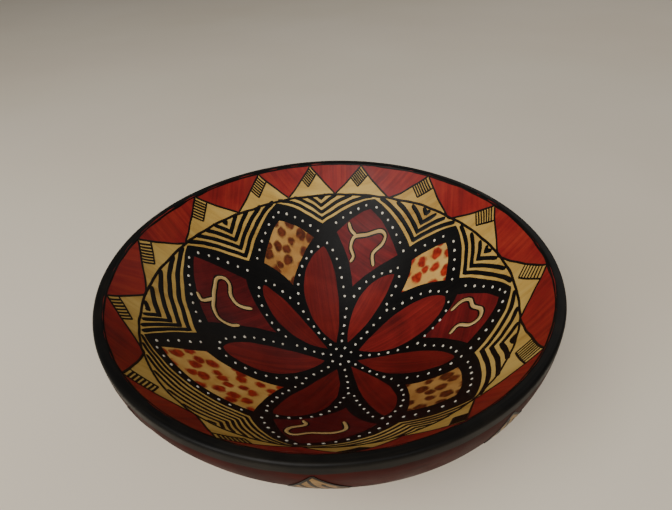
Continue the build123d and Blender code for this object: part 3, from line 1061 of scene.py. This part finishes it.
def rim_shake(direction, row, radius, height):
    """The lip is a little uneven, and the black ends in a brushed edge."""
    here = Vector((*polar(direction, 6.0), 0))
    count = len(rim_top)
    on_top = row < count
    step = row if on_top else 2 * count - 1 - row
    if step < BAND_IN_ROWS:
        share = 1 - step / BAND_IN_ROWS
        shift = 0.5 * noise.noise(here * 1.7) if step == 0 else 0.0
        up = shift * sin(wall_angle) / cos(wall_angle) + (BAND_EDGE_LIFT if on_top else 0)
        return radius + shift * share, height + up * share
    if step >= count - BAND_OUT_ROWS:
        drop = 0.6 * noise.noise(here * 2.1) if step == count - 1 else 0
        return radius, height + drop
    worn = LIP_WEAR * (0.5 + 0.5 * noise.noise(here)) if on_top else 0.0
    return radius, height - worn


rim = Paint()
rim.add(*revolved(rim_top + rim_low[::-1], [0] * 2 * len(rim_top), rim_shake), 0)
rim.finish("rim_paint", [rim_black], "rim_band")

belly = WOOD_TOP - FOOT_HEIGHT - LIP_DEPTH
depths = [BAND_DEPTH - 1.0] + [LIP_DEPTH + belly * i / BELLY_ROWS for i in range(BELLY_ROWS + 1)]
outer = [(outside_ring(depth, WALL_TOP)[1], WOOD_TOP - depth) for depth in depths]
inner = [(outside_ring(depth, WALL_ROOT)[1], WOOD_TOP - depth) for depth in depths]
leans = [outside_ring(depth, 0)[0] for depth in depths]


def wall_shake(direction, row, radius, height):
    """Shallow facets that the adze left on the outside, under the paint."""
    if row >= len(outer):
        return radius, height
    here = Vector((*polar(direction, 9.0), height / 16))
    below = min(max((WOOD_TOP - BAND_DEPTH - height) / ADZE_FADE, 0), 1)
    return radius - ADZE * below * (0.5 + 0.5 * noise.noise(here * 0.9)), height


wall = Paint()
wall.add(*revolved(outer + inner[::-1], leans + leans[::-1], wall_shake), 0)
wall.finish("outside_paint", [maroon], "outer_coat")

patches = Paint()
half, tall = PATCH_WIDTH / 2, PATCH_HEIGHT / 2
corners = [(-half, 0), (0, tall), (half, 0), (0, -tall)]
edge_sides = [[a, b] for a, b in zip(corners, corners[1:] + corners[:1])]
diamond = closed(*[side[::-1] for side in edge_sides[::-1]])
for index in range(PATCH_COUNT):
    patches.place = patch_place(PATCH_DIRECTION + index * 360 / PATCH_COUNT)
    patches.sheet(diamond, PATCH_TOP, root=PATCH_ROOT, seed=index * 1.3)
    marks = [(side, PATCH_EDGE_WIDTH, PATCH_EDGE_TOP, index, 0.9) for side in edge_sides]
    for stroke in range(-2, 3):
        middle = stroke * PATCH_STROKE_PITCH
        reach = tall * (1 - abs(middle) / half) * PATCH_STROKE_SHARE
        slanted = [(middle - PATCH_STROKE_SLANT, -reach), (middle + PATCH_STROKE_SLANT, reach)]
        marks.append((slanted, PATCH_STROKE_WIDTH, PATCH_STROKE_TOP, stroke, 0.35))
    for path, width, top, seed, taper in marks:
        patches.stroke(path, width, top, root=PATCH_ROOT, seed=seed, material=1, taper=taper)
patches.finish("outside_patches", [patch_cream, line_black], "outer_patches")

# --- Stage --------------------------------------------------------------------------------
# In metres: how far the floor's corners are, where the lamps point, and the camera
FLOOR_REACH = 5.657
BOWL_MIDDLE = Vector((0, 0, 0.06))
CAMERA_PLACE = (0.0, -0.2698, 0.3191)
CAMERA_TURN = (53.48, 1.747, -2.376)
CAMERA_LENS = 26.79

floor_corners = [polar(turn, FLOOR_REACH) + (0,) for turn in (-135, -45, 45, 135)]
floor_mesh = bpy.data.meshes.new("floor")
floor_mesh.from_pydata(floor_corners, [], [(0, 1, 2, 3)])
floor = bpy.data.objects.new("floor", floor_mesh)
bpy.context.scene.collection.objects.link(floor)
floor_paint, tree, shader = nodes_of("floor_pale")
pale = ((0.3, rgb(228, 216, 196)), (0.7, rgb(236, 226, 208)))
mottle = ramp_of(tree, noise_of(tree, placed(tree), 1.5, 3), pale)
tree.links.new(mottle, shader.inputs["Base Color"])
shader.inputs["Roughness"].default_value = 0.75
floor_mesh.materials.append(floor_paint)


def lamp(name, direction, elevation, distance, size, power, tint=(1, 1, 1)):
    """A square soft light that faces the bowl."""
    data = bpy.data.lights.new(name, "AREA")
    data.shape = "SQUARE"
    data.size = size
    data.energy = power
    data.color = tint
    light = bpy.data.objects.new(name, data)
    flat = distance * cos(radians(elevation))
    x, y = polar(direction, flat)
    light.location = BOWL_MIDDLE + Vector((x, y, distance * sin(radians(elevation))))
    light.rotation_euler = (BOWL_MIDDLE - light.location).to_track_quat("-Z", "Y").to_euler()
    bpy.context.scene.collection.objects.link(light)


lamp("key", -124, 43, 1.8, 1.4, 36, (1.0, 0.97, 0.92))
lamp("window", -62, 44, 2.2, 0.6, 3.5, (0.97, 0.98, 1.0))
lamp("side", 50, 34, 2.0, 1.4, 4, (1.0, 0.96, 0.9))

world = bpy.data.worlds.new("studio")
world.use_nodes = True
background = world.node_tree.nodes["Background"]
background.inputs["Color"].default_value = (0.93, 0.91, 0.88, 1)
background.inputs["Strength"].default_value = 0.2
bpy.context.scene.world = world

camera_data = bpy.data.cameras.new("camera")
camera_data.sensor_width = 36
camera_data.lens = CAMERA_LENS
camera_data.clip_start = 0.01
camera = bpy.data.objects.new("camera", camera_data)
camera.location = CAMERA_PLACE
camera.rotation_euler = [radians(turn) for turn in CAMERA_TURN]
bpy.context.scene.collection.objects.link(camera)
bpy.context.scene.camera = camera
